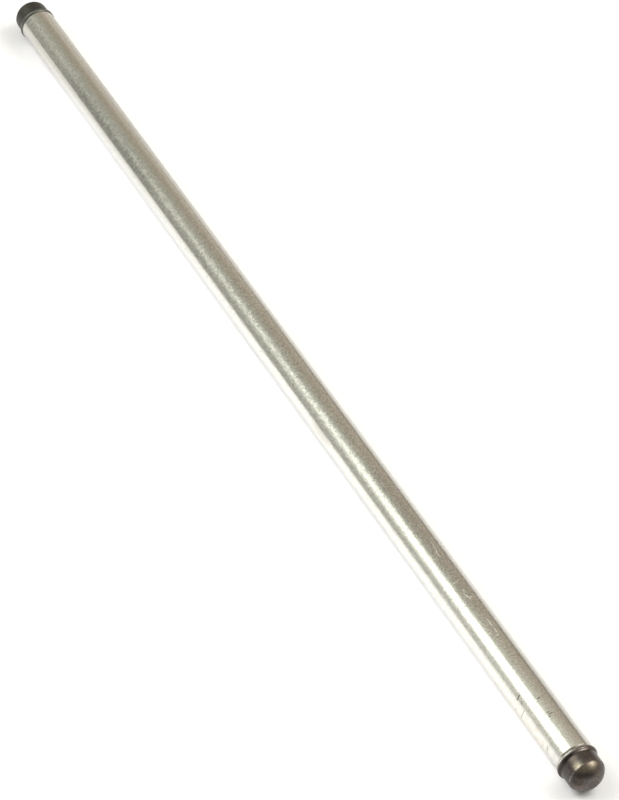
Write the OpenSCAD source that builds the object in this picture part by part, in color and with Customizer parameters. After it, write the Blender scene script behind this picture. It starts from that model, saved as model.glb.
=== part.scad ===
// Engine pushrod: a drawn aluminium tube with a hardened steel ball tip pressed into each end.
// The rod lies along X, with its middle at the origin and the rocker's end towards +X.

/* [Rod] */
// Length of the pushrod, from the flat on one tip to the flat on the other
rod_len = 290; // [240:0.5:340]

/* [Tube] */
// Outside diameter of the tube
tube_d = 9; // [8:0.1:12]
// Thickness of the tube's wall
tube_wall = 1.5; // [1.2:0.05:2]
// Width of the chamfer round the outside of each end of the tube
tube_edge = 0.25; // [0.1:0.05:0.5]
// Width of the lead-in chamfer in each mouth of the bore
bore_lead = 0.4; // [0.2:0.05:0.6]

/* [Tip] */
// Length of a tip outside the tube, from its seat on the tube to its flat
tip_len = 7.2; // [6:0.1:9]
// Height that the collar and the ball stand proud of the tube all round
tip_proud = 0.2; // [0.05:0.05:0.5]
// Radius of the collar's edge beside the tube
collar_back_round = 0.6; // [0.2:0.05:0.8]
// Width of the straight land on the collar's crest
collar_land = 0.25; // [0.05:0.05:0.5]
// Radius of the collar's edge beside the neck
collar_front_round = 0.4; // [0.3:0.05:0.8]
// Radius of the hollow that leads from the collar's edge down to the neck
neck_hollow = 0.8; // [0.5:0.1:2]
// Depth of the neck below the collar
neck_depth = 0.42; // [0.3:0.02:0.7]
// Diameter of the flat on the end of the ball
flat_d = 3; // [2:0.1:5]
// Length of the shank that is pressed into the tube
shank_len = 12; // [6:0.5:20]
// Width of the chamfer round the shank's inner end
shank_edge = 0.6; // [0.3:0.05:1]

/* [Hidden] */
$fn = 96;

tube_r = tube_d / 2;
tube_end = rod_len / 2 - tip_len;

// The shank is pressed into the bore, so the two share one radius.
bore_r = tube_r - tube_wall;

// Collar and ball are turned from one bar, so they share a radius too.
tip_r = tube_r + tip_proud;
neck_r = tip_r - neck_depth;
flat_r = flat_d / 2;

// Places along the tip, counted outwards from its seat on the tube: the ball's centre and the collar's land
ball_centre = tip_len - sqrt(tip_r * tip_r - flat_r * flat_r);
land_end = collar_back_round + collar_land;

// The front round and the hollow are arcs that meet at this angle to the rod, and the neck starts past both.
slope_angle = acos(1 - neck_depth / (collar_front_round + neck_hollow));
front_end = land_end + collar_front_round * sin(slope_angle);
neck_start = front_end + neck_hollow * sin(slope_angle);

// Half section of the tube's wall, chamfered inside and outside at both ends
module tube_section() {
    polygon([
        [bore_r + bore_lead, -tube_end],
        [tube_r - tube_edge, -tube_end],
        [tube_r, -tube_end + tube_edge],
        [tube_r, tube_end - tube_edge],
        [tube_r - tube_edge, tube_end],
        [bore_r + bore_lead, tube_end],
        [bore_r, tube_end - bore_lead],
        [bore_r, -tube_end + bore_lead]
    ]);
}

// Half section of the shank, chamfered at its inner end and rooted in the collar
module shank_section() {
    polygon([
        [0, land_end],
        [bore_r, land_end],
        [bore_r, shank_edge - shank_len],
        [bore_r - shank_edge, -shank_len],
        [0, -shank_len]
    ]);
}

// What a corner loses when it is turned round, with the centre of the rounding at the origin
module corner_waste(round_r) {
    difference() {
        square(round_r);
        circle(round_r);
    }
}

// What the collar's front loses when it is turned round, as far as the hollow
module front_waste() {
    difference() {
        square([collar_front_round, front_end - land_end]);
        circle(collar_front_round);
    }
}

// Half section of the head: a bar turned to a ball with a flat end, a neck with a hollow, and a round collar
module head_section() {
    difference() {
        square([tip_r, tip_len]);
        translate([0, ball_centre]) corner_waste(tip_r);
        translate([neck_r, neck_start]) square([neck_depth, tip_len - neck_start]);
        translate([neck_r + neck_hollow, neck_start]) circle(neck_hollow);
        translate([tip_r - collar_front_round, land_end]) front_waste();
        translate([tip_r - collar_back_round, collar_back_round])
            mirror([0, 1]) corner_waste(collar_back_round);
    }
}

// A whole tip, standing along Z with its seat at the origin and its ball upwards
module tip() {
    rotate_extrude() shank_section();
    rotate_extrude() head_section();
}

module tube() {
    color("silver") rotate([0, 90, 0]) rotate_extrude() tube_section();
}

module rocker_tip() {
    color([0.30, 0.26, 0.24]) translate([tube_end, 0, 0]) rotate([0, 90, 0]) tip();
}

module tappet_tip() {
    color([0.30, 0.26, 0.24]) translate([-tube_end, 0, 0]) rotate([0, -90, 0]) tip();
}

tube();
rocker_tip();
tappet_tip();
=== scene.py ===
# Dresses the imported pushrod: fine lathe meshes, worn metals, a pale floor, soft light and a camera.
import math
from types import SimpleNamespace

import bmesh
import bpy
import numpy as np
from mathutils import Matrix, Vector


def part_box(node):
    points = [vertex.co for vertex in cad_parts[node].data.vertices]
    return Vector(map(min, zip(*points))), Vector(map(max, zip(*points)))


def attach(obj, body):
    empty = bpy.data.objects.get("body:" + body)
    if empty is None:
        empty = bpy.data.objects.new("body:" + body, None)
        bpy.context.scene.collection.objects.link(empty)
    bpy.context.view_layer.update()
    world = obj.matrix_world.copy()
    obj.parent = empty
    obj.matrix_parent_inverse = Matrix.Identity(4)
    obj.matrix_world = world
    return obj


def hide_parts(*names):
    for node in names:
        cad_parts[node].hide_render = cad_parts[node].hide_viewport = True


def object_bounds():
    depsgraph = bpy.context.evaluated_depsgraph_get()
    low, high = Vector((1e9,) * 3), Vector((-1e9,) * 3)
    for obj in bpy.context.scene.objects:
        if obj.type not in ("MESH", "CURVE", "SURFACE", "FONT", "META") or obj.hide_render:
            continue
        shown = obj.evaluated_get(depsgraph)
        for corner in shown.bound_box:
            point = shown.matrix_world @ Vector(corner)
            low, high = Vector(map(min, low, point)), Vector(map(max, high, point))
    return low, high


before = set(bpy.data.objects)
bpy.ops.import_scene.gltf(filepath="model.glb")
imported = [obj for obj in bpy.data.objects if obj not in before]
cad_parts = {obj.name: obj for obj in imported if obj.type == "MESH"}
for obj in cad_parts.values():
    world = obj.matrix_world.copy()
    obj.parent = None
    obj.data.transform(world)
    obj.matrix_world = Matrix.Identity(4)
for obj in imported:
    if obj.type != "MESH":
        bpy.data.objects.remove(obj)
cad_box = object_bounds()

MM = 0.001

# In the values below, a band is two pairs: where it rises and where it falls. A fade is where a
# smooth step starts and ends, and what it goes from and to, if that isn't 0 and 1.

# Finer sizes of the solids, in millimetres; the frame gives the larger ones
TUBE_WALL = 1.5
TUBE_EDGE = 0.25
BORE_LEAD = 0.4
COLLAR_BACK_ROUND = 0.6
COLLAR_LAND = 0.25
COLLAR_FRONT_ROUND = 0.4
NECK_HOLLOW = 0.8
NECK_DEPTH = 0.42
FLAT_R = 1.5
SHANK_EDGE = 0.6

# Corners that use has worn, in millimetres along each side of the corner
CREASE_WEAR = 0.3
FLAT_WEAR = 0.2

# Mesh fineness: sides round the axis, steps along each stretch of an outline, the spacing of the
# tube's rows in millimetres, and the angle in degrees from which an edge is sharp
TUBE_SIDES = 160
TIP_SIDES = 192
ARC_STEPS = 14
DOME_STEPS = 42
EASE_STEPS = 6
FLAT_STEPS = 4
NECK_STEPS = 8
LAND_STEPS = 3
SEAT_STEPS = 2
SHANK_STEPS = 6
BORE_STEPS = 12
TUBE_ROW = 1.0
SHARP_ANGLE = 35

# Tolerances: for one point and for a point on the axis in millimetres, and for the tube's outside
# in metres
SAME_POINT = 1e-6
ON_AXIS = 1e-9
ON_SURFACE = 1e-6

# Slight unevenness of the drawn tube: height in millimetres, waves per tube length, waves round it,
# phase
TUBE_WAVES = [
    (0.0030, 5, 2, 0.3),
    (0.0020, 11, 1, 1.9),
    (0.0012, 19, 3, 4.1),
    (0.0008, 31, 2, 5.2),
]

# Marks of use on the tube: place along the rod in millimetres, degrees from the top towards the
# rod's left, half length and half width in millimetres, and lean from the rod's axis in degrees
LIGHT_MARKS = [
    (77.0, -5.2, 1.5, 0.15, 0),
    (75.0, -9.5, 2.0, 0.10, 4),
    (86.3, 4.8, 0.8, 0.17, 90),
    (89.4, -1.9, 0.6, 0.22, 0),
    (91.0, -1.0, 1.1, 0.24, -15),
    (91.5, -8.0, 0.6, 0.22, 90),
    (99.7, -9.0, 1.5, 0.2, 0),
    (102.3, -9.3, 0.9, 0.15, 0),
    (103.6, -5.7, 0.35, 0.2, 90),
    (39.4, -10.4, 0.35, 0.12, -35),
]
DARK_MARKS = [
    (119.6, 47.5, 0.35, 0.22, 80),
    (119.8, 54.0, 0.45, 0.22, 100),
    (121.2, 53.6, 0.5, 0.17, 25),
    (122.9, 7.0, 0.5, 0.15, 85),
    (127.2, 9.0, 0.35, 0.13, 80),
    (127.7, 5.2, 0.66, 0.14, 90),
    (128.3, 11.0, 0.35, 0.13, 75),
    (123.0, 76.5, 1.45, 0.09, 90),
    (120.4, 87.0, 0.3, 0.12, 90),
    (131.5, 51.3, 0.35, 0.14, 20),
    (133.5, 74.5, 0.6, 0.10, 60),
]
STAIN_MARKS = [
    (30.5, 66.0, 5.0, 1.0, 0),
]

# Fades of a mark's soft edge, and of the light marks where the grain breaks them up
MARK_EDGE = (0.3, 1.3, 1.0, 0.0)
LIGHT_BROKEN = (0.38, 0.55, 0.4, 1.0)

# Bands along the tube in millimetres; BEFORE and BEYOND lie past its ends
BEFORE = (-160, -150)
BEYOND = (150, 160)
WHOLE_TUBE = (BEFORE, BEYOND)
FAR_HALF = (BEFORE, (-110, 20))
NEAR_HALF = ((-50, 0), BEYOND)
NEAR_END = ((100, 118), BEYOND)
NEAR_MIDDLE = ((40, 55), (90, 106))

# Bands round the tube in degrees from the top towards the rod's left
RIGHT_SIDE = ((-80, -55), (-40, -24))
BROW = ((-43, -37), (-31, -22))
CROWN = ((-22, -8), (12, 22))
LEFT_SIDE = ((50, 60), (62, 88))

# Zones of the tube: a band along it, a band round it, and how much darker (painted shade) or rougher
# it is there
PAINTED_SHADE_ZONES = [
    (FAR_HALF, RIGHT_SIDE, 0.12),
    (FAR_HALF, LEFT_SIDE, 0.25),
    (NEAR_HALF, BROW, 0.13),
    (NEAR_END, BROW, 0.04),
    (NEAR_END, RIGHT_SIDE, 0.06),
    (NEAR_MIDDLE, CROWN, 0.10),
]
ROUGH_ZONES = [
    (WHOLE_TUBE, RIGHT_SIDE, 0.12),
    (FAR_HALF, RIGHT_SIDE, 0.12),
]
SMUDGE_ZONE = (((-116, -104), (-78, -55)), ((8, 28), (46, 58)))
SMUDGE_DARK = 0.22
SMUDGE_PLAIN = 0.5
STAIN_ZONE = (((112, 136), BEYOND), ((40, 65), (95, 120)))
# Greyer on the tube's left side at its near end, next to the tip
END_GREY_ZONE = (((131, 137), BEYOND), ((45, 60), (90, 115)))

# The aluminium's fine detail: noises as scale, detail and roughness, stretches along and across the
# rod, heights in millimetres, and fades of the noises
GRAIN_NOISE = (3.2, 2.0, 0.6)
MOTTLE_NOISE = (1.3, 6.0, 0.75)
PATCHY_NOISE = (0.7, 3.0, 0.55)
LINE_NOISE = (1.0, 3.0, 0.55)
STREAK_NOISE = (1.0, 2.0, 0.55)
LINE_STRETCH = (0.05, 2.5, 2.5)
STREAK_STRETCH = (0.3, 3.0, 3.0)
GRAIN_HEIGHT = 0.003
STREAK_HEIGHT = 0.008
LINE_HEIGHT = 0.006
NICK_DEPTH = 0.02
PATCHY_FADE = (0.42, 0.58)
RUBBED_FAR = (-120, 20, 0.12, 1.0)
RUBBED_NEAR = (102, 122, 1.0, 0.6)
SPECK_FADE = (0.3, 0.68, -0.22, 0.16)
MOTTLE_FADE = (0.3, 0.7)
ROUGH_FADE = (0.25, 0.75, 0.15, 0.24)
LIGHT_ROUGH = 0.4
DARK_ROUGH = 0.25

# The aluminium's colours, and how strong the stains, the grey at the near end and the marks are on it
ALUMINIUM_DARK = (0.78, 0.755, 0.70, 1)
ALUMINIUM_PALE = (0.88, 0.865, 0.825, 1)
EDGE_TINT = (0.80, 0.805, 0.825, 1)
STAIN_COLOUR = (0.63, 0.59, 0.51, 1)
END_GREY_COLOUR = (0.62, 0.63, 0.64, 1)
SPOT_COLOUR = (0.66, 0.63, 0.57, 1)
LIGHT_COLOUR = (0.92, 0.91, 0.88, 1)
DARK_COLOUR = (0.18, 0.165, 0.15, 1)
STAIN_STRENGTH = 0.5
END_GREY_STRENGTH = 0.5
SPOT_STRENGTH = 0.7
LIGHT_STRENGTH = 0.75
DARK_STRENGTH = 0.9

# The steel's colours
STEEL_DARK = (0.106, 0.093, 0.092, 1)
STEEL_BROWN = (0.138, 0.113, 0.10, 1)
NECK_DARK = (0.11, 0.09, 0.08, 1)
NECK_HIGHLIGHT = (0.31, 0.27, 0.215, 1)
GOLDEN_TINT_AND_HIGHLIGHT = (0.208, 0.17, 0.138, 1)
COLLAR_HIGHLIGHT_COLOUR = (0.44, 0.37, 0.34, 1)
WORN_AND_HIGHLIGHT_COLOUR = (0.80, 0.78, 0.73, 1)
FAR_COLLAR = (0.19, 0.19, 0.175, 1)
FAR_STEEL = (0.085, 0.083, 0.074, 1)

# The steel's fine detail, in the same terms as the aluminium's
TINT_NOISE = (0.5, 3.0, 0.55)
TURNED_NOISE = (1.0, 3.0, 0.55)
TURNED_STRETCH = (9.0, 0.3, 0.3)
STEEL_GRAIN_NOISE = (3.0, 2.0, 0.6)
RAGGED_NOISE = (1.6, 3.0, 0.6)
TURNED_HEIGHT = 0.003
STEEL_GRAIN_HEIGHT = 0.003
TINT_FADE = (0.42, 0.62)
STEEL_GRAIN_FADE = (0.3, 0.7, 0.86, 1.14)
STEEL_ROUGH_FADE = (0.25, 0.75, 0.30, 0.40)
FAR_ROUGH = 0.1

# Bands and fades on a tip in millimetres: OUT is outwards from the tube's end, RADIUS from the
# axis, UP from the axis upwards and RIGHT from it to the rod's right. RAGGED ones break up an edge
# by noise.
NEAR_TIP = (-100, 100)
# The near neck's painted highlight
NECK_OUT = ((1.5, 2.0), (4.72, 4.82))
NECK_UP = (0.3, 3.0)
NECK_RIGHT = (-3.3, -2.7)
NECK_LEFT_ONLY = (-2.2, -0.9, 1.0, 0.18)
NECK_HIGHLIGHT_OUT = (2.6, 4.6)
GOLDEN_OUT = (4.74, 4.84)
GOLDEN_UP = (2.3, 3.8)
# Painted shade on the neck's flank and in the collar's corner
FLANK_OUT = ((1.2, 1.7), (4.3, 4.7))
FLANK_RIGHT = (-3.5, -2.8, 1.0, 0.0)
FLANK_SHADE = 0.27
CORNER_OUT = ((0.85, 1.0), (1.5, 1.9))
CORNER_SHADE = 0.45
# A painted highlight on the near collar's front
COLLAR_HIGHLIGHT_OUT = ((0.4, 0.7), (1.3, 1.7))
COLLAR_HIGHLIGHT_UP = (2.0, 3.5, 0.0, 0.36)
COLLAR_HIGHLIGHT_RIGHT = ((-2.2, -0.8), (0.8, 4.5))
# Bright wear on the crest and the crease, kept where the highlight falls: partly painted highlights
CREST_OUT = ((-0.4, 0.15), (0.6, 0.72))
CREST_RADIUS = (4.38, 4.45)
CREST_UP = (0.8, 2.8, 0.15, 1.0)
CREST_RIGHT = (-2.4, -0.8, 1.0, 0.35)
CREST_RAGGED = (0.3, 0.5, 0.6, 1.0)
CREASE_OUT = ((4.55, 4.65), (4.72, 4.82))
CREASE_RIGHT = (-2.0, -0.5, 0.5, 0.1)
CREASE_RAGGED = (0.45, 0.65)
RIM_OUT = (6.5, 6.8)
RIM_RADIUS = ((1.3, 1.45), (1.52, 1.65))
RIM_RAGGED = (0.4, 0.6, 0.0, 0.1)
FAR_COLLAR_OUT = (0.7, 0.95)
FAR_DULL = (0.0, 1.0, 0.85, 0.0)
FAR_DULL_OUT = (4.2, 5.2, 1.0, 0.4)

# A patch of painted shade on the near ball: the way it faces, its edge in radii of the ball, and how
# dark it is
PATCH_FACING = (0.70, -0.65, 0.27)
PATCH_EDGE = (0.94, 0.985)
PATCH_SHADE = 0.4

# The photograph's camera: what it looks at in millimetres, its angles in degrees, its distance and
# its lens
AIM = (17.6, -0.6, 0.0)
AZIMUTH = 62.941
ELEVATION = 44.350
DISTANCE = 784.3
LENS = 153.5
CLIP_START = 0.05

# The floor, which glows a little more in a pool of painted light at the rod's left, and at the rod's
# foot there, and not at a painted shadow under the near tip; its half width is in metres and its bands
# are in millimetres
FLOOR_HALF = 8.0
FLOOR_COLOUR = (0.885, 0.872, 0.90, 1)
GLOW_COLOUR = (0.88, 0.868, 0.885, 1)
POOL_COLOUR = (0.86, 0.89, 0.955, 1)
FLOOR_GLOW = 0.30
POOL_GLOW = 0.27
FOOT_GLOW = 0.09
POOL_X = ((-150, -105), (128, 148))
POOL_Y = ((-60, -25), (-5, 0))
FOOT_Y = ((-15, -9), (-6, -2))
POOL_COOL = (88, 116, 1.0, 0.0)
# A painted shadow under the near tip: where it lies in millimetres, and the fade of the glow round it
PAINTED_SHADOW_SPOT = (142.6, -0.5)
PAINTED_SHADOW_FADE = (0.7, 3.2)

# The room's walls by degrees round the rod, from level at its right over the top: the first paint,
# and then where each next one comes in
ROOM_RIGHT = (0.425, 0.375, 0.305, 1)
ROOM_PAINTS = [
    ((34, 62), (0.375, 0.339, 0.272, 1)),
    ((66, 96), (0.38, 0.382, 0.325, 1)),
    ((140, 165), (0.40, 0.40, 0.364, 1)),
]

# Lights of the room: a wide soft one over the rod's left, its halo, a side light and a front light,
# as a band of the sky along the rod, a band round it in degrees, and a strength
PAST_LEFT = (200, 210)
PAST_END = (2, 3)
BAND_LIGHTS = [
    (((-0.63, -0.47), (-0.30, -0.10)), ((92, 120), (124, 157)), 4.5),
    (((-0.70, -0.66), (-0.52, -0.42)), ((104, 121), (124, 144)), 0.28),
    (((-0.62, -0.53), (-0.40, -0.15)), ((110, 160), PAST_LEFT), 0.36),
    (((-0.56, -0.532), (-0.40, -0.15)), ((20, 100), (100, 120)), 0.55),
]

# A small light over the rod's right with its spill, and a faint gleam: where they lie, their edge
# as cosines of the angle from there, and a strength
TOP_FACING = (0.28, 0.62, 0.73)
GLEAM_FACING = (-0.85, 0.50, 0.15)
ROUND_LIGHTS = [
    (TOP_FACING, (0.95, 0.99), 6.0),
    (TOP_FACING, (0.75, 0.96), 0.4),
    (GLEAM_FACING, (0.935, 0.985), 0.2),
]
LAMP_COLOUR = (0.97, 1, 0.925, 1)

# Darker parts of the walls: a gloom past the wide light and a skirting at the right, in the same
# terms, and a dusk low down beyond the rod's near end
DARK_WALLS = [
    (((-0.735, -0.71), (-0.695, -0.67)), ((105, 145), PAST_LEFT), 0.5),
    (((-0.69, -0.65), PAST_END), ((-20, -5), (6, 24)), 0.25),
]
DUSK_X = (0.2, 0.55)
DUSK_Y = (0.15, 0.55, 0.82, 0.0)
DUSK_Z = ((-0.03, 0.03), (0.28, 0.5))


def rod_sizes():
    """The rod's larger sizes in millimetres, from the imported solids."""
    tube_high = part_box("tube")[1] / MM
    tip_low, tip_high = (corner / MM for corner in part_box("rocker_tip"))
    return {
        "tube_end": tube_high.x,
        "tube_r": tube_high.z,
        "tip_r": min(cad_box[1].y, cad_box[1].z) / MM,
        "tip_len": tip_high.x - tube_high.x,
        "shank_len": tube_high.x - tip_low.x,
    }


SIZES = rod_sizes()
BORE_R = SIZES["tube_r"] - TUBE_WALL
NECK_R = SIZES["tip_r"] - NECK_DEPTH

# The ball's centre, outwards from the tip's seat on the tube
BALL_OUT = SIZES["tip_len"] - math.sqrt(SIZES["tip_r"] ** 2 - FLAT_R ** 2)


def arc(centre, radius, start, end, steps=ARC_STEPS):
    """Points (x, r) on a circle, between two angles in degrees from the rod's axis."""
    turns = np.radians(np.linspace(start, end, steps + 1))
    return [(centre[0] + radius * math.cos(t), centre[1] + radius * math.sin(t)) for t in turns]


def straight(start, end, steps):
    """Evenly spaced points from start to end, both included."""
    return [tuple(p) for p in np.linspace(start, end, steps + 1)]


def eased(before, corner, after, steps=EASE_STEPS):
    """Points of a worn corner, which leaves one side at before and meets the other at after."""
    before, corner, after = (np.array(p) for p in (before, corner, after))
    parts = np.linspace(0, 1, steps + 1)
    return [tuple((1 - t) ** 2 * before + 2 * t * (1 - t) * corner + t * t * after) for t in parts]


def joined(*runs):
    """One outline from several runs of points, each point once."""
    points = [p for run in runs for p in run]
    kept = [points[0]]
    for p in points[1:]:
        if math.dist(p, kept[-1]) > SAME_POINT:
            kept.append(p)
    return kept


def slope(land_end):
    """Points from the neck up to the collar's land: a wide hollow, then the collar's round front."""
    reach = COLLAR_FRONT_ROUND + NECK_HOLLOW
    lean = math.degrees(math.acos(1 - NECK_DEPTH / reach))
    hollow = (land_end + reach * math.sin(math.radians(lean)), NECK_R + NECK_HOLLOW)
    front = (land_end, SIZES["tip_r"] - COLLAR_FRONT_ROUND)
    return joined(
        arc(hollow, NECK_HOLLOW, 270, 270 - lean),
        arc(front, COLLAR_FRONT_ROUND, 90 - lean, 90),
    )


def ball_outline():
    """Half section of the ball from the middle of its flat to the neck, past the worn crease."""
    tip_r, tip_len = SIZES["tip_r"], SIZES["tip_len"]
    flat_turn = math.degrees(math.asin(FLAT_R / tip_r) + FLAT_WEAR / tip_r)
    crease_turn = math.degrees(math.asin(NECK_R / tip_r) - CREASE_WEAR / tip_r)
    crease_x = BALL_OUT + math.sqrt(tip_r ** 2 - NECK_R ** 2)
    dome = arc((BALL_OUT, 0.0), tip_r, flat_turn, crease_turn, DOME_STEPS)
    return joined(
        straight((tip_len, 0.0), (tip_len, FLAT_R - FLAT_WEAR), FLAT_STEPS),
        eased((tip_len, FLAT_R - FLAT_WEAR), (tip_len, FLAT_R), dome[0]),
        dome,
        eased(dome[-1], (crease_x, NECK_R), (crease_x - CREASE_WEAR, NECK_R)),
    )


def tip_outline():
    """Half section of a tip, with its seat at x = 0, from its flat to its shank's inner end."""
    tip_r, shank_len = SIZES["tip_r"], SIZES["shank_len"]
    back = (COLLAR_BACK_ROUND, tip_r - COLLAR_BACK_ROUND)
    land_end = COLLAR_BACK_ROUND + COLLAR_LAND
    ball = ball_outline()
    rise = slope(land_end)
    return joined(
        ball,
        straight(ball[-1], rise[0], NECK_STEPS),
        rise,
        straight((land_end, tip_r), (back[0], tip_r), LAND_STEPS),
        arc(back, COLLAR_BACK_ROUND, 90, 180),
        straight((0.0, back[1]), (0.0, BORE_R), SEAT_STEPS),
        straight((0.0, BORE_R), (SHANK_EDGE - shank_len, BORE_R), SHANK_STEPS),
        [(-shank_len, BORE_R - SHANK_EDGE), (-shank_len, 0.0)],
    )


def tube_outline():
    """Whole section of the tube's wall as a closed loop: outside, end, bore and other end."""
    end, tube_r = SIZES["tube_end"], SIZES["tube_r"]
    mouth = BORE_R + BORE_LEAD
    edge = end - TUBE_EDGE
    rows = round(2 * edge / TUBE_ROW)
    return joined(
        straight((-edge, tube_r), (edge, tube_r), rows),
        [(end, tube_r - TUBE_EDGE), (end, mouth)],
        straight((end - BORE_LEAD, BORE_R), (BORE_LEAD - end, BORE_R), BORE_STEPS),
        [(-end, mouth), (-end, tube_r - TUBE_EDGE)],
    )


def ring(mesh, x, r, sides):
    """The vertices of one turn of a lathe mesh; a point on the axis becomes one vertex."""
    turns = [2 * math.pi * i / sides for i in range(sides)]
    spots = [(0.0, 0.0)] if r < ON_AXIS else [(r * math.cos(t), r * math.sin(t)) for t in turns]
    return [mesh.verts.new((x * MM, y * MM, z * MM)) for y, z in spots]


def skin(mesh, first, second, sides):
    """The faces between two rings, which meet in a point where a ring has one vertex."""
    for i in range(sides):
        j = (i + 1) % sides
        if len(first) == 1:
            corners = (first[0], second[i], second[j])
        elif len(second) == 1:
            corners = (first[i], second[0], first[j])
        else:
            corners = (first[i], second[i], second[j], first[j])
        mesh.faces.new(corners)


def lathe(name, outline, sides, closed=False):
    """A smooth piece turned about X from points (x, r) in millimetres."""
    mesh = bmesh.new()
    rings = [ring(mesh, x, r, sides) for x, r in outline]
    pairs = list(zip(rings, rings[1:]))
    if closed:
        pairs.append((rings[-1], rings[0]))
    for first, second in pairs:
        skin(mesh, first, second, sides)
    bmesh.ops.recalc_face_normals(mesh, faces=mesh.faces)
    data = bpy.data.meshes.new(name)
    mesh.to_mesh(data)
    mesh.free()
    data.shade_smooth()
    data.set_sharp_from_angle(angle=math.radians(SHARP_ANGLE))
    piece = bpy.data.objects.new(name, data)
    bpy.context.scene.collection.objects.link(piece)
    return piece


def uneven(piece):
    """Gives the tube's outside the slight waves of drawn metal, which its reflections show."""
    tube_r = SIZES["tube_r"] * MM
    length = 2 * SIZES["tube_end"] * MM
    co = np.zeros(len(piece.data.vertices) * 3)
    piece.data.vertices.foreach_get("co", co)
    co = co.reshape(-1, 3)
    radius = np.hypot(co[:, 1], co[:, 2])
    turn = np.arctan2(co[:, 2], co[:, 1])
    outside = radius > tube_r - ON_SURFACE
    lift = np.zeros(len(co))
    for height, along, around, phase in TUBE_WAVES:
        lift += height * MM * np.sin(2 * math.pi * along * co[:, 0] / length + around * turn + phase)
    scale = np.where(outside, 1 + lift / np.maximum(radius, MM), 1.0)
    co[:, 1:] *= scale[:, None]
    piece.data.vertices.foreach_set("co", co.ravel())
    piece.data.update()


class Graph:
    """A node tree, with short calls that add nodes to it and give back their outputs."""

    def __init__(self, tree):
        self.tree = tree

    def feed(self, socket, value):
        """Links value to the socket if it is an output, and else sets it as the socket's own."""
        if isinstance(value, bpy.types.NodeSocket):
            self.tree.links.new(value, socket)
        else:
            socket.default_value = value

    def node(self, kind, inputs=None, **settings):
        """A new node with its settings and its inputs, by name or by number."""
        made = self.tree.nodes.new(kind)
        for key, value in settings.items():
            setattr(made, key, value)
        for key, value in (inputs or {}).items():
            self.feed(made.inputs[key], value)
        return made

    def split(self, vector):
        """The x, y and z of a vector."""
        return self.node("ShaderNodeSeparateXYZ", {0: vector}).outputs

    def vector(self, operation, *values, result=0):
        """A result of a Vector Math node."""
        made = self.node("ShaderNodeVectorMath", dict(enumerate(values)), operation=operation)
        return made.outputs[result]

    def calc(self, operation, *values):
        """The result of a Math node."""
        return self.node("ShaderNodeMath", dict(enumerate(values)), operation=operation).outputs[0]

    def times(self, first, *others):
        """The product of several values."""
        for other in others:
            first = self.calc("MULTIPLY", first, other)
        return first

    def add(self, base, value, amount=1.0):
        """The base plus an amount of value."""
        return self.calc("MULTIPLY_ADD", value, amount, base)

    def strongest(self, masks):
        """The strongest of several masks at each point."""
        most = masks[0]
        for mask in masks[1:]:
            most = self.calc("MAXIMUM", most, mask)
        return most

    def fade(self, value, low, high, to_low=0.0, to_high=1.0):
        """A smooth step of value from low to high, as a number from to_low to to_high."""
        inputs = {"Value": value, "From Min": low, "From Max": high, "To Min": to_low, "To Max": to_high}
        return self.node("ShaderNodeMapRange", inputs, interpolation_type="SMOOTHSTEP").outputs[0]

    def band(self, value, rise, fall):
        """1 between the two edges, each of which is a pair of the values where it starts and ends."""
        return self.times(self.fade(value, *rise), self.fade(value, *fall, 1.0, 0.0))

    def zone(self, along, around, along_band, around_band):
        """1 where both values are inside their bands."""
        return self.times(self.band(along, *along_band), self.band(around, *around_band))

    def blended(self, factor, first, second):
        """A colour between first and second, which are the Mix node's sockets 6 and 7."""
        inputs = {0: factor, 6: first, 7: second}
        return self.node("ShaderNodeMix", inputs, data_type="RGBA").outputs[2]

    def scaled(self, colour, factor):
        """The colour times a number."""
        inputs = {0: colour, "Scale": factor}
        return self.node("ShaderNodeVectorMath", inputs, operation="SCALE").outputs[0]

    def darkened(self, colour, mask, amount):
        """The colour, darker by an amount where the mask is 1."""
        return self.scaled(colour, self.add(1.0, mask, -amount))

    def noise(self, vector, scale, detail, roughness):
        """A noise from 0 to 1."""
        inputs = {"Vector": vector, "Scale": scale, "Detail": detail, "Roughness": roughness}
        return self.node("ShaderNodeTexNoise", inputs, noise_dimensions="3D").outputs[0]

    def stretched_noise(self, vector, stretch, settings):
        """A noise with its own scale on each axis."""
        return self.noise(self.vector("MULTIPLY", vector, stretch), *settings)

    def toward(self, look, direction):
        """How far the look reaches in a direction."""
        facing = tuple(Vector(direction).normalized())
        return self.vector("DOT_PRODUCT", look, facing, result="Value")

    def millimetres(self):
        """The object's own coordinates in millimetres."""
        place = self.node("ShaderNodeTexCoord").outputs["Object"]
        return self.vector("MULTIPLY", place, (1 / MM,) * 3)


def new_metal(name):
    """A metal material, its graph and its Principled shader."""
    made = bpy.data.materials.new(name)
    made.use_nodes = True
    shader = made.node_tree.nodes["Principled BSDF"]
    shader.inputs["Metallic"].default_value = 1.0
    return made, Graph(made.node_tree), shader


def finish_metal(g, shader, colour, rough, height):
    """Gives a metal its colour, its roughness and its relief, the height of which is in millimetres."""
    relief = g.node("ShaderNodeBump", {"Strength": 1.0, "Distance": MM, "Height": height})
    g.feed(shader.inputs["Base Color"], colour)
    g.feed(shader.inputs["Roughness"], rough)
    g.feed(shader.inputs["Normal"], relief.outputs[0])


def mark(g, along, around, spec):
    """A long soft spot on the tube, 1 inside it and 0 outside."""
    x, turn, half_length, half_width, lean = spec
    across = math.sin(math.radians(lean))
    ahead = math.cos(math.radians(lean))
    u = g.calc("SUBTRACT", along, x)
    v = g.calc("SUBTRACT", around, math.radians(turn) * SIZES["tube_r"])
    length = g.add(g.times(v, across / half_length), u, ahead / half_length)
    width = g.add(g.times(u, -across / half_width), v, ahead / half_width)
    spread = g.add(g.times(width, width), length, length)
    return g.fade(spread, *MARK_EDGE)


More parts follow.
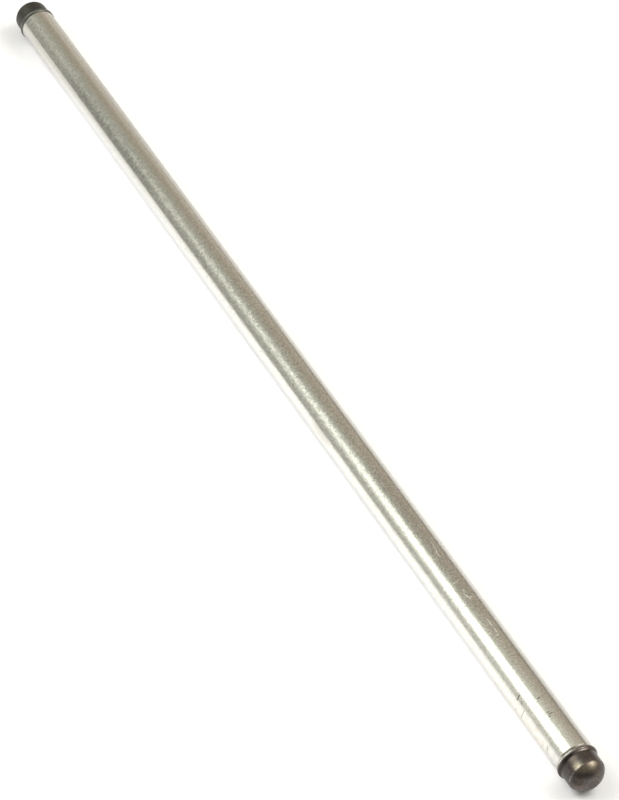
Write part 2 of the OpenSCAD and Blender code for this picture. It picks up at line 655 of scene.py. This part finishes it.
def tube_places(g, place):
    """Where a point of the tube is, and the noises and marks there."""
    x, y, z = g.split(place)
    turn = g.calc("ARCTAN2", g.times(y, -1.0), z)
    around = g.times(turn, SIZES["tube_r"])
    grain = g.noise(place, *GRAIN_NOISE)
    light, dark, spots = (
        g.strongest([mark(g, x, around, spec) for spec in specs])
        for specs in (LIGHT_MARKS, DARK_MARKS, STAIN_MARKS)
    )
    return SimpleNamespace(
        x=x,
        degrees=g.calc("DEGREES", turn),
        grain=grain,
        mottle=g.noise(place, *MOTTLE_NOISE),
        patchy=g.fade(g.noise(place, *PATCHY_NOISE), *PATCHY_FADE),
        rubbed=g.times(g.fade(x, *RUBBED_FAR), g.fade(x, *RUBBED_NEAR)),
        light=g.times(light, g.fade(grain, *LIGHT_BROKEN)),
        dark=dark,
        spots=spots,
    )


def aluminium_height(g, place, at):
    """The relief of grain, draw lines and nicks, in millimetres."""
    height = g.times(at.grain, GRAIN_HEIGHT)
    height = g.add(height, g.stretched_noise(place, STREAK_STRETCH, STREAK_NOISE), STREAK_HEIGHT)
    height = g.add(height, g.stretched_noise(place, LINE_STRETCH, LINE_NOISE), LINE_HEIGHT)
    return g.add(g.times(height, at.rubbed), at.dark, -NICK_DEPTH)


def aluminium_tone_and_shade(g, at):
    """How light the aluminium is: its specks, zones of painted shade and a smudge at the far end."""
    tone = g.add(1.0, g.times(g.fade(at.grain, *SPECK_FADE), at.rubbed))
    # Painted shade: the tube is darker in bands along it and round it
    for along, around, amount in PAINTED_SHADE_ZONES:
        tone = g.add(tone, g.zone(at.x, at.degrees, along, around), -amount)
    blotchy = g.add(SMUDGE_PLAIN, at.patchy, 1.0 - SMUDGE_PLAIN)
    smudge = g.times(g.zone(at.x, at.degrees, *SMUDGE_ZONE), blotchy)
    return g.add(tone, smudge, -SMUDGE_DARK)


def aluminium_colour(g, at):
    """Mottled aluminium with its tone, painted shade, stains, end grey and marks laid over each other.
    """
    colour = g.blended(g.fade(at.mottle, *MOTTLE_FADE), ALUMINIUM_DARK, ALUMINIUM_PALE)
    colour = g.scaled(colour, aluminium_tone_and_shade(g, at))
    stain = g.times(at.patchy, g.zone(at.x, at.degrees, *STAIN_ZONE))
    end_grey = g.zone(at.x, at.degrees, *END_GREY_ZONE)
    for mask, strength, over in (
        (stain, STAIN_STRENGTH, STAIN_COLOUR),
        (end_grey, END_GREY_STRENGTH, END_GREY_COLOUR),
        (at.spots, SPOT_STRENGTH, SPOT_COLOUR),
        (at.light, LIGHT_STRENGTH, LIGHT_COLOUR),
        (at.dark, DARK_STRENGTH, DARK_COLOUR),
    ):
        colour = g.blended(g.times(mask, strength), colour, over)
    return colour


def make_aluminium():
    """Drawn, polished aluminium: fine grain, draw lines, rub marks, stains and zones of painted shade.
    """
    made, g, shader = new_metal("tube_aluminium")
    place = g.millimetres()
    at = tube_places(g, place)
    rough = g.fade(at.mottle, *ROUGH_FADE)
    for along, around, amount in ROUGH_ZONES:
        rough = g.add(rough, g.zone(at.x, at.degrees, along, around), amount)
    rough = g.add(rough, at.light, LIGHT_ROUGH)
    rough = g.add(rough, at.dark, DARK_ROUGH)
    finish_metal(g, shader, aluminium_colour(g, at), rough, aluminium_height(g, place, at))
    shader.inputs["Specular Tint"].default_value = EDGE_TINT
    return made


def tip_places(g, place):
    """Where a point of a tip is, 1 or 0 for the near or the far tip, and the noises there."""
    x, y, z = g.split(place)
    return SimpleNamespace(
        out=g.calc("SUBTRACT", g.calc("ABSOLUTE", x), SIZES["tube_end"]),
        radius=g.calc("SQRT", g.add(g.times(z, z), y, y)),
        right=y,
        up=z,
        near=g.fade(x, *NEAR_TIP),
        grain=g.noise(place, *STEEL_GRAIN_NOISE),
        ragged=g.noise(place, *RAGGED_NOISE),
    )


def tempered_and_highlighted(g, place, at):
    """The steel's brown tints, with painted highlights on the near neck and on the near ball's golden
    top.
    """
    colour = g.blended(g.fade(g.noise(place, *TINT_NOISE), *TINT_FADE), STEEL_DARK, STEEL_BROWN)
    # A painted highlight on the near neck, dark near the collar and pale towards the crease
    neck = g.times(
        g.band(at.out, *NECK_OUT),
        g.fade(at.up, *NECK_UP),
        g.fade(at.right, *NECK_RIGHT),
        g.fade(at.right, *NECK_LEFT_ONLY),
        at.near,
    )
    colour = g.blended(neck, colour, g.blended(g.fade(at.out, *NECK_HIGHLIGHT_OUT), NECK_DARK, NECK_HIGHLIGHT))
    # Golden temper tint on the near ball's top, lighter where the highlight falls: partly painted
    # highlight
    golden = g.times(g.fade(at.out, *GOLDEN_OUT), g.fade(at.up, *GOLDEN_UP), at.near)
    colour = g.blended(golden, colour, GOLDEN_TINT_AND_HIGHLIGHT)
    return g.scaled(colour, g.fade(at.grain, *STEEL_GRAIN_FADE))


def with_painted_shade(g, place, at, colour):
    """With painted shade: darker on the neck's flank, in the collar's corner and on a patch of the ball.
    """
    flank = g.times(g.band(at.out, *FLANK_OUT), g.fade(at.right, *FLANK_RIGHT))
    colour = g.darkened(colour, flank, FLANK_SHADE)
    colour = g.darkened(colour, g.band(at.out, *CORNER_OUT), CORNER_SHADE)
    from_ball = g.vector("SUBTRACT", place, (SIZES["tube_end"] + BALL_OUT, 0.0, 0.0))
    low, high = (edge * SIZES["tip_r"] for edge in PATCH_EDGE)
    patch = g.fade(g.toward(from_ball, PATCH_FACING), low, high)
    return g.darkened(colour, patch, PATCH_SHADE)


def worn_edges_and_highlights(g, at):
    """The near tip's edges worn bright: collar crest and crease, partly painted highlights, and flat's
    rim.
    """
    # Crest and crease: worn bright, and kept to where the highlight falls, so partly painted highlights
    crest = g.times(
        g.fade(at.radius, *CREST_RADIUS),
        g.band(at.out, *CREST_OUT),
        g.fade(at.ragged, *CREST_RAGGED),
        g.fade(at.up, *CREST_UP),
        g.fade(at.right, *CREST_RIGHT),
    )
    crease = g.times(
        g.band(at.out, *CREASE_OUT),
        g.fade(at.ragged, *CREASE_RAGGED),
        g.fade(at.right, *CREASE_RIGHT),
    )
    rim = g.times(
        g.band(at.radius, *RIM_RADIUS),
        g.fade(at.out, *RIM_OUT),
        g.fade(at.ragged, *RIM_RAGGED),
    )
    return g.times(g.strongest([crest, crease, rim]), at.near)


def steel_colour(g, place, at):
    """Tempered steel: painted collar highlight, edges worn and painted bright, plainer and duller far
    tip.
    """
    colour = with_painted_shade(g, place, at, tempered_and_highlighted(g, place, at))
    # A painted highlight on the near collar's front
    collar_highlight = g.times(
        g.band(at.out, *COLLAR_HIGHLIGHT_OUT),
        g.fade(at.up, *COLLAR_HIGHLIGHT_UP),
        g.band(at.right, *COLLAR_HIGHLIGHT_RIGHT),
        at.near,
    )
    colour = g.blended(collar_highlight, colour, COLLAR_HIGHLIGHT_COLOUR)
    colour = g.blended(worn_edges_and_highlights(g, at), colour, WORN_AND_HIGHLIGHT_COLOUR)
    plain = g.blended(g.fade(at.out, *FAR_COLLAR_OUT), FAR_COLLAR, FAR_STEEL)
    dulled = g.times(g.fade(at.near, *FAR_DULL), g.fade(at.out, *FAR_DULL_OUT))
    return g.blended(dulled, colour, plain)


def make_steel():
    """Hardened dark steel: turning marks, brown temper tints, bright-worn edges, painted shade and
    highlights.
    """
    made, g, shader = new_metal("tip_steel")
    place = g.millimetres()
    at = tip_places(g, place)
    turned = g.stretched_noise(place, TURNED_STRETCH, TURNED_NOISE)
    height = g.add(g.times(turned, TURNED_HEIGHT), at.grain, STEEL_GRAIN_HEIGHT)
    far = g.calc("SUBTRACT", 1.0, at.near)
    rough = g.add(g.fade(turned, *STEEL_ROUGH_FADE), far, FAR_ROUGH)
    finish_metal(g, shader, steel_colour(g, place, at), rough, height)
    return made


def dress(piece, cad_node, material):
    """Puts a piece in a CAD node's place, with its material."""
    piece.data.materials.append(material)
    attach(piece, "root")
    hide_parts(cad_node)


def make_rod():
    """The tube and its two tips."""
    aluminium = make_aluminium()
    steel = make_steel()
    tube = lathe("pushrod_tube", tube_outline(), TUBE_SIDES, closed=True)
    uneven(tube)
    dress(tube, "tube", aluminium)
    for cad_node, side in (("rocker_tip", 1), ("tappet_tip", -1)):
        outline = [(side * (SIZES["tube_end"] + x), r) for x, r in tip_outline()]
        dress(lathe("pushrod_" + cad_node, outline, TIP_SIDES), cad_node, steel)


def floor_glow(g, place):
    """The floor glow's colour and strength, for camera and mirrors only, with painted light and shadow.
    """
    rays = g.node("ShaderNodeLightPath").outputs
    kinds = ("Is Camera Ray", "Is Glossy Ray", "Is Transmission Ray")
    seen = g.strongest([rays[kind] for kind in kinds])
    x, y, _ = g.split(place)
    # Painted light: a pool of glow at the rod's left, stronger at its foot, which hides the rod's shadow
    # there
    pool = g.zone(x, y, POOL_X, POOL_Y)
    foot = g.times(pool, g.band(y, *FOOT_Y))
    glow = g.add(g.add(FLOOR_GLOW, pool, POOL_GLOW), foot, FOOT_GLOW)
    # Painted shadow: no glow close under the near tip
    away = g.vector("DISTANCE", place, (*PAINTED_SHADOW_SPOT, cad_box[0].z / MM), result="Value")
    tint = g.blended(g.times(pool, g.fade(x, *POOL_COOL)), GLOW_COLOUR, POOL_COLOUR)
    return tint, g.times(glow, g.fade(away, *PAINTED_SHADOW_FADE), seen)


def make_floor_white():
    """Pale matt material that glows a little: a white ground with the shadow, and painted light and
    shadow.
    """
    made = bpy.data.materials.new("floor_white")
    made.use_nodes = True
    tree = made.node_tree
    tree.nodes.remove(tree.nodes["Principled BSDF"])
    g = Graph(tree)
    tint, glow = floor_glow(g, g.millimetres())
    matt = g.node("ShaderNodeBsdfDiffuse", {"Color": FLOOR_COLOUR})
    shine = g.node("ShaderNodeEmission", {"Color": tint, "Strength": glow})
    both = g.node("ShaderNodeAddShader", {0: matt.outputs[0], 1: shine.outputs[0]})
    g.feed(tree.nodes["Material Output"].inputs["Surface"], both.outputs[0])
    return made


def make_floor():
    """A wide floor, which the rod lies on."""
    data = bpy.data.meshes.new("floor")
    half, low = FLOOR_HALF, cad_box[0].z
    corners = [(-half, -half, low), (half, -half, low), (half, half, low), (-half, half, low)]
    data.from_pydata(corners, [], [(0, 1, 2, 3)])
    data.materials.append(make_floor_white())
    floor = bpy.data.objects.new("floor", data)
    bpy.context.scene.collection.objects.link(floor)


def lamp_level(g, look, along, turn):
    """How bright the room's lights are in the direction of the look."""
    level = 0.0
    for along_band, turn_band, strength in BAND_LIGHTS:
        level = g.add(level, g.zone(along, turn, along_band, turn_band), strength)
    for facing, edge, strength in ROUND_LIGHTS:
        level = g.add(level, g.fade(g.toward(look, facing), *edge), strength)
    return level


def wall_level(g, axes, turn):
    """How bright the walls are in the direction of the look."""
    level = 1.0
    for along_band, turn_band, strength in DARK_WALLS:
        level = g.add(level, g.zone(axes[0], turn, along_band, turn_band), -strength)
    dusk = g.times(g.band(axes[2], *DUSK_Z), g.fade(axes[0], *DUSK_X), g.fade(axes[1], *DUSK_Y))
    return g.calc("SUBTRACT", level, dusk)


def make_room():
    """A warm grey room with soft lights, as the world that the metal mirrors."""
    world = bpy.data.worlds.new("room")
    bpy.context.scene.world = world
    world.use_nodes = True
    tree = world.node_tree
    tree.nodes.remove(tree.nodes["Background"])
    g = Graph(tree)
    look = g.node("ShaderNodeTexCoord").outputs["Generated"]
    axes = g.split(look)
    turn = g.calc("DEGREES", g.calc("ARCTAN2", axes[2], axes[1]))
    paint = ROOM_RIGHT
    for edge, colour in ROOM_PAINTS:
        paint = g.blended(g.fade(turn, *edge), paint, colour)
    lamps = {"Color": LAMP_COLOUR, "Strength": lamp_level(g, look, axes[0], turn)}
    walls = {"Color": paint, "Strength": wall_level(g, axes, turn)}
    lights = [g.node("ShaderNodeBackground", inputs).outputs[0] for inputs in (walls, lamps)]
    both = g.node("ShaderNodeAddShader", dict(enumerate(lights)))
    g.feed(tree.nodes["World Output"].inputs["Surface"], both.outputs[0])


def make_camera():
    """The photograph's camera, which looks down at the rod from its near end."""
    data = bpy.data.cameras.new("camera")
    data.lens = LENS
    data.clip_start = CLIP_START
    camera = bpy.data.objects.new("camera", data)
    bpy.context.scene.collection.objects.link(camera)
    side, up = math.radians(AZIMUTH), math.radians(ELEVATION)
    back = Vector((math.sin(side) * math.cos(up), -math.cos(side) * math.cos(up), math.sin(up)))
    camera.location = (Vector(AIM) + back * DISTANCE) * MM
    camera.rotation_mode = "QUATERNION"
    camera.rotation_quaternion = (-back).to_track_quat("-Z", "Y")
    bpy.context.scene.camera = camera


make_rod()
make_floor()
make_room()
make_camera()
bpy.context.scene.view_settings.view_transform = "Standard"
